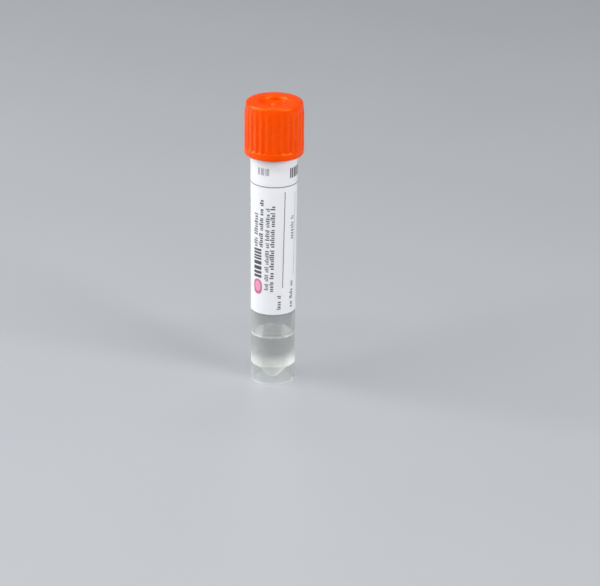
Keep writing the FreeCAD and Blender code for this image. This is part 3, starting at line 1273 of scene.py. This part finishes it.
@dataclass
class LabelPrint:
    """Generic print on the label: rows of blocks, rules to write on, bars and fields of colour.

    Places round the label are in degrees from the front, + to the right. Block sizes are shares of
    a row's size.
    """

    label: WrapLabel
    proud: float = 0.012
    sunk: float = 0.012
    lean: float = 1.1
    arc: float = 3.0
    word_blocks: tuple[int, int] = (3, 9)
    block_widths: Pair = (0.34, 0.62)
    # A block is low with so many chances to one for each of the other heights.
    low_block: float = 0.66
    low_chances: int = 3
    tall_blocks: Pair = (1.0, 0.9)
    word_gap: float = 0.5
    least_word: float = 0.6
    rule_pieces: int = 12
    ring_ends: Pair = (-160.0, 155.0)
    ring_level: float = 57.36
    ring_width: float = 0.26
    ring_tilt: float = 0.4
    # Heavy bars come in pairs, one at each end of a span, and each takes this share of it.
    bar_share: float = 0.41
    bar_ends: Pair = (-56.0, -31.5)
    bar_levels: tuple[Pair, ...] = ((31.1, 33.0), (33.4, 35.9), (36.3, 37.6), (37.9, 39.4))
    dashes: tuple[float, ...] = (-42.0, -38.6, -33.0, -29.6, -26.2, -20.6, -17.2, -13.8)
    dash_width: float = 1.7
    dash_levels: Pair = (60.6, 62.6)
    stripes: tuple[Pair, ...] = ((43.0, 54.0), (57.0, 70.0), (73.0, 86.0), (89.0, 101.0))
    stripe_levels: Pair = (59.5, 62.3)
    rows: tuple[PrintRow, ...] = (
        PrintRow(-48.3, 39.9, 49.9, 1.5, InkTone.GREY, 0.66, 3),
        PrintRow(-31.8, 40.0, 54.2, 1.25, InkTone.BLACK, 0.62, 5),
        PrintRow(-17.0, 27.8, 51.8, 1.15, InkTone.BLACK, 0.54, 8),
        PrintRow(-4.1, 27.4, 52.7, 1.25, InkTone.BLACK, 0.58, 13),
        PrintRow(15.4, 22.2, 26.6, 1.2, InkTone.BLACK, 0.58, 22),
        PrintRow(53.2, 42.0, 48.9, 1.4, InkTone.GREY, 0.56, 34),
        PrintRow(52.0, 22.3, 30.4, 1.2, InkTone.BLACK, 0.54, 55),
        PrintRow(92.0, 22.3, 29.0, 1.2, InkTone.BLACK, 0.66, 89),
        PrintRow(128.0, 22.3, 31.5, 1.2, InkTone.BLACK, 0.66, 144),
        PrintRow(-118.0, 24.0, 54.0, 1.1, InkTone.GREY, 0.64, 233),
        PrintRow(-104.0, 24.0, 50.5, 1.1, InkTone.GREY, 0.64, 377),
        PrintRow(-90.0, 24.0, 53.0, 1.1, InkTone.GREY, 0.64, 610),
    )
    rules: tuple[WritingRule, ...] = (
        WritingRule(24.3, 28.4, 55.9, 0.24, InkTone.GREY),
        WritingRule(61.0, 31.2, 55.0, 0.2, InkTone.PALE),
        WritingRule(98.5, 30.5, 55.0, 0.2, InkTone.GREY),
        WritingRule(134.5, 33.0, 55.0, 0.2, InkTone.GREY),
    )
    fields: tuple[RoundField, ...] = (
        RoundField(InkTone.PINK, -43.4, 28.45, 2.95, 4.3),
        RoundField(InkTone.ROSE, -43.0, 28.6, 1.9, 2.9, above=0.008),
    )

    def __post_init__(self) -> None:
        """Start one skin for each ink."""
        self.skins = {tone: Skin() for tone in InkTone}

    def degrees_per_mm(self, level: float) -> float:
        """Give how many degrees one millimetre round the label is at a height."""
        return math.degrees(1.0 / self.label.surface(level))

    def leaned(self, degrees: float, low: float, level: float) -> float:
        """Give the angle at a height of a line that leans with the askew label from its lower end."""
        return degrees + math.tan(math.radians(self.lean)) * (level - low) * self.degrees_per_mm(level)

    def lay(
        self, tone: InkTone, ends: Pair, edges: Callable[[float], Pair], above: float, arc: float
    ) -> None:
        """Lay a thin patch of ink on the film.

        Args:
            tone: its ink.
            ends: its left and right end.
            edges: gives its lower and upper edge at a place round the label.
            above: how much higher than other ink it lies.
            arc: degrees between its sections.
        """
        first, last = ends
        count = max(1, math.ceil((last - first) / arc))
        rings = []
        for step in range(count + 1):
            degrees = first + (last - first) * step / count
            low, high = edges(degrees)
            outer = self.proud + above
            rings.append([
                round_place(self.label.surface(level) + off, math.radians(degrees + FRONT), level)
                for level, off in (
                    (low, -self.sunk), (low, outer), (high, outer), (high, -self.sunk))])
        self.skins[tone].add_rings(rings)

    def lay_block(self, tone: InkTone, ends: Pair, levels: Pair) -> None:
        """Lay a block of ink between two places round the label and two heights."""
        self.lay(tone, ends, lambda _: levels, 0.0, self.arc)

    def lay_row(self, row: PrintRow) -> None:
        """Lay a row of words, each a run of blocks of uneven height.

        Args:
            row: the row.
        """
        dice = random.Random(row.seed)
        heights = (self.low_block,) * self.low_chances + self.tall_blocks
        level = row.low
        while level < row.high - self.least_word * row.size:
            for _ in range(dice.randint(*self.word_blocks)):
                wide = row.size * dice.uniform(*self.block_widths)
                if level + wide > row.high:
                    break
                # Tall blocks stand on the same line as the low ones, to the left of their middle.
                tall = dice.choice(heights)
                shift = (self.low_block - tall) / 2.0 * row.size * self.degrees_per_mm(level)
                middle = self.leaned(row.middle, row.low, level) + shift
                half = tall * row.size / 2.0 * self.degrees_per_mm(level)
                self.lay_block(
                    row.tone, (middle - half, middle + half), (level, level + wide * row.bold))
                level += wide
            level += row.size * self.word_gap

    def lay_rule(self, rule: WritingRule) -> None:
        """Lay a rule, in short pieces that lean with the label.

        Args:
            rule: the rule.
        """
        half = rule.width / 2.0 * self.degrees_per_mm(rule.low)
        rise = (rule.high - rule.low) / self.rule_pieces
        for piece in range(self.rule_pieces):
            start = rule.low + rise * piece
            middle = self.leaned(rule.middle, rule.low, start)
            self.lay_block(rule.tone, (middle - half, middle + half), (start, start + rise))

    def lay_ring(self) -> None:
        """Lay the thin line that runs round the label, a little askew, up to the lap."""
        slope = math.tan(math.radians(self.ring_tilt)) / self.degrees_per_mm(self.ring_level)

        def edges(place: float) -> Pair:
            """Give the line's lower and upper edge."""
            middle = self.ring_level - slope * place
            return middle - self.ring_width / 2.0, middle + self.ring_width / 2.0

        self.lay(InkTone.GREY, self.ring_ends, edges, 0.0, self.arc)

    def lay_field(self, shape: RoundField) -> None:
        """Lay a plain field with round ends.

        Args:
            shape: the field.
        """
        half = shape.wide / 2.0 * self.degrees_per_mm(shape.level)

        def edges(place: float) -> Pair:
            """Give the field's lower and upper edge.

            Args:
                place: degrees from the front.

            Returns:
                The two heights.
            """
            share = min(1.0, abs(place - shape.middle) / half)
            curve = (1.0 - share ** shape.fullness) ** (1.0 / shape.fullness)
            rise = max(shape.least, shape.tall / 2.0 * curve)
            return shape.level - rise, shape.level + rise

        self.lay(
            shape.tone, (shape.middle - half, shape.middle + half), edges, shape.above, shape.arc)

    def paired_bars(self, span: Pair) -> tuple[Pair, Pair]:
        """Split a span into a bar at each of its ends."""
        bar = self.bar_share * (span[1] - span[0])
        return (span[0], span[0] + bar), (span[1] - bar, span[1])

    def build(self) -> None:
        """Make the print."""
        for row in self.rows:
            self.lay_row(row)
        for rule in self.rules:
            self.lay_rule(rule)
        self.lay_ring()
        for shape in self.fields:
            self.lay_field(shape)
        for span in self.bar_levels:
            for levels in self.paired_bars(span):
                self.lay_block(InkTone.BLACK, self.bar_ends, levels)
        for dash in self.dashes:
            self.lay_block(InkTone.GREY, (dash, dash + self.dash_width), self.dash_levels)
        for span in self.stripes:
            for ends in self.paired_bars(span):
                self.lay_block(InkTone.BLACK, ends, self.stripe_levels)
        for tone, skin in self.skins.items():
            skin.place(
                f"label_print_{tone.name.lower()}", PrintedInk.mixed(tone).material(), Body.TUBE,
                Slot.LABEL)


@dataclass
class LiquidFill:
    """The transport liquid in the conical bottom, with a surface that climbs the wall a little.

    Attributes:
        tube: the tube that it is in.
        level: height at which the surface meets the wall.
        dip: how far the middle of the surface lies below that.
        run: how far from the wall the curve has lost most of its slope.
        decay: how fast the curve flattens, and how many runs wide its curved part is.
        crowding: power that draws the surface's rings together near the wall.
        surface_rings: number of rings in the curved part.
        flat_rings: shares of the flat part's radius at which it has a ring.
        wet: how far the liquid reaches into the wall, so that no air gap shows.
        columns: number of points round a ring.
    """

    tube: SpecimenTube
    level: float = 13.9
    dip: float = 0.45
    run: float = 0.9
    decay: float = 2.2
    crowding: float = 1.5
    surface_rings: int = 24
    flat_rings: tuple[float, ...] = (0.66, 0.33, 0.0)
    wet: float = 0.03
    columns: int = 160

    def build(self) -> None:
        """Make the liquid."""
        tube = self.tube
        contact = tube.bore_radius(self.level) + self.wet
        floor = tube.cone_floor - self.wet
        outline = rounded_profile([
            (0.0, floor, 0.0),
            (tube.cone_floor_radius, floor, tube.cone_floor_rounding),
            (tube.bore_floor_radius + self.wet, tube.bore_floor - self.wet / 2.0,
             tube.bore_floor_rounding),
            (contact, self.level, 0.0),
        ])
        for ring in range(1, self.surface_rings + 1):
            inward = self.run * self.decay * (ring / self.surface_rings) ** self.crowding
            drop = self.dip * (1.0 - math.exp(-self.decay * inward / self.run))
            outline.append((contact - inward, self.level - drop))
        edge, flat = outline[-1]
        outline += [(edge * share, flat) for share in self.flat_rings]
        skin = Skin()
        skin.add_rings(turned_rings(outline, whole_turn(self.columns)))
        skin.place(
            "liquid_fill", TransportLiquid().material(), Body.TUBE, Slot.LIQUID, "liquid_medium")


# Studio
# ------


@dataclass(frozen=True)
class Softbox:
    """A rectangular studio light that faces the object.

    Attributes:
        name: its name.
        azimuth: degrees round the aim from the camera's side, + to the right.
        elevation: degrees above the level of the aim.
        distance: metres from the aim.
        size: width and height in metres.
        power: watts.
    """

    name: str
    azimuth: float
    elevation: float
    distance: float
    size: Pair
    power: float


@dataclass
class Studio:
    """A pale floor, soft lights and the camera.

    The aim is the middle of the object. The camera stands in front of it at its elevation, and is
    then turned to the right and down and rolled. Angles are in degrees, and lengths are in metres
    unless their names or comments say millimetres.
    """

    aim: Vector = field(default_factory=lambda: Vector((0.0, 0.0, 0.04)))
    camera_distance: float = 0.9
    camera_elevation: float = 20.44
    lens_mm: float = 199.28
    sensor_mm: float = 36.0
    clip: Pair = (0.05, 50.0)
    turned_right: float = 0.4563
    turned_down: float = 0.9068
    roll: float = -0.372
    floor_half: float = 4.0
    floor_squares: int = 16
    # A hair of air under the foot keeps the two faces from lying in one plane.
    floor_gap_mm: float = 0.05
    world_colour: str = "#F2F4F7"
    world_strength: float = 0.12
    lights: tuple[Softbox, ...] = (
        Softbox("key_left", -82.0, 33.0, 0.9, (0.9, 0.7), 10.8),
        Softbox("fill_right", 54.0, 30.0, 1.1, (0.5, 0.6), 8.1),
        Softbox("top_front", 4.0, 66.0, 1.0, (0.9, 0.09), 3.3),
        Softbox("top_back", 172.0, 66.0, 1.0, (0.6, 0.2), 1.4),
    )

    def build_floor(self) -> None:
        """Make the floor, a flat board."""
        mesh = bpy.data.meshes.new("floor_board")
        work = bmesh.new()
        bmesh.ops.create_grid(
            work, x_segments=self.floor_squares, y_segments=self.floor_squares,
            size=self.floor_half, matrix=Matrix.Translation((0.0, 0.0, -self.floor_gap_mm * MM)))
        work.to_mesh(mesh)
        work.free()
        mesh.materials.append(SatinAcrylicBoard().material())
        link_object("floor_board", mesh)

    def build_lights(self) -> None:
        """Hang the softboxes and set the even light of the room."""
        for box in self.lights:
            lamp = bpy.data.lights.new(box.name, "AREA")
            lamp.shape = "RECTANGLE"
            lamp.size, lamp.size_y = box.size
            lamp.energy = box.power
            turn, rise = math.radians(box.azimuth + FRONT), math.radians(box.elevation)
            away = Vector((
                math.cos(turn) * math.cos(rise), math.sin(turn) * math.cos(rise), math.sin(rise)))
            holder = link_object(box.name, lamp)
            holder.location = self.aim + away * box.distance
            holder.rotation_euler = away.to_track_quat("Z", "Y").to_euler()
        world = bpy.data.worlds.new("room")
        bpy.context.scene.world = world
        world.use_nodes = True
        world.node_tree.nodes.clear()
        light = add_node(
            world.node_tree, "Background", {
                "Color": linear(self.world_colour), "Strength": self.world_strength})
        add_node(world.node_tree, "OutputWorld", {"Surface": light})

    def build_camera(self) -> None:
        """Set up the camera, which looks a little to the right of the object and below its middle."""
        lens = bpy.data.cameras.new("camera")
        lens.lens = self.lens_mm
        lens.sensor_width = self.sensor_mm
        lens.clip_start, lens.clip_end = self.clip
        rise = math.radians(self.camera_elevation)
        away = Vector((0.0, -math.cos(rise), math.sin(rise)))
        level_turn = Matrix.Rotation(math.pi / 2.0 - rise, 3, "X")
        seen = Vector((
            -math.tan(math.radians(self.turned_right)), math.tan(math.radians(self.turned_down)),
            -1.0))
        aside = seen.rotation_difference(Vector((0.0, 0.0, -1.0))).to_matrix()
        tilted = Matrix.Rotation(math.radians(self.roll), 3, -away)
        holder = link_object("camera", lens)
        holder.matrix_world = Matrix.Translation(
            self.aim + away * self.camera_distance) @ (tilted @ level_turn @ aside).to_4x4()
        bpy.context.scene.camera = holder

    def build(self) -> None:
        """Make the whole studio."""
        self.build_floor()
        self.build_lights()
        self.build_camera()
        bpy.context.scene.view_settings.view_transform = "Standard"
        log.info("studio: floor, %d lights and camera", len(self.lights))


def main() -> None:
    """Build the studio, the tube, the cap, the label with its print and the liquid."""
    logging.basicConfig(level=logging.INFO, format="%(name)s: %(message)s")
    Studio().build()
    tube = SpecimenTube()
    tube.build()
    ScrewCap().build()
    label = WrapLabel(tube)
    label.build()
    LabelPrint(label).build()
    LiquidFill(tube).build()


if __name__ == "__main__":
    main()
